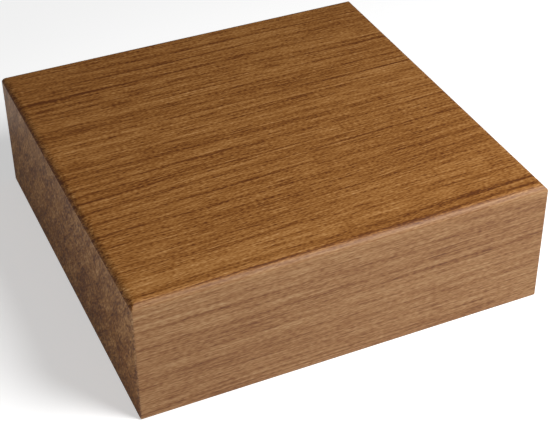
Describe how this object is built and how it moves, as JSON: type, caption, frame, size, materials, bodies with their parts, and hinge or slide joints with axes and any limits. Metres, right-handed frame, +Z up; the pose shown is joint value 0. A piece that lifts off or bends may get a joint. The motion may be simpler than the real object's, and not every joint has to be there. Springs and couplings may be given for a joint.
{
  "type": "display block",
  "caption": "Square solid wood block with a small eased rim along its top edges, used as a low plinth for showing small things.",
  "frame": {"origin": "middle of the underside, on the surface that the block stands on", "axes": "+Z up, square to the top face; X along the grain, so the faces at -X and +X are end grain; Y across the grain"},
  "size_m": [0.1, 0.1, 0.032],
  "materials": {
    "oiled_hardwood": "planed and sanded open-pored hardwood, lightly oiled to a low sheen; darker on the end grain"
  },
  "bodies": {
    "root": {"display_block": "oiled_hardwood"}
  },
  "joints": []
}
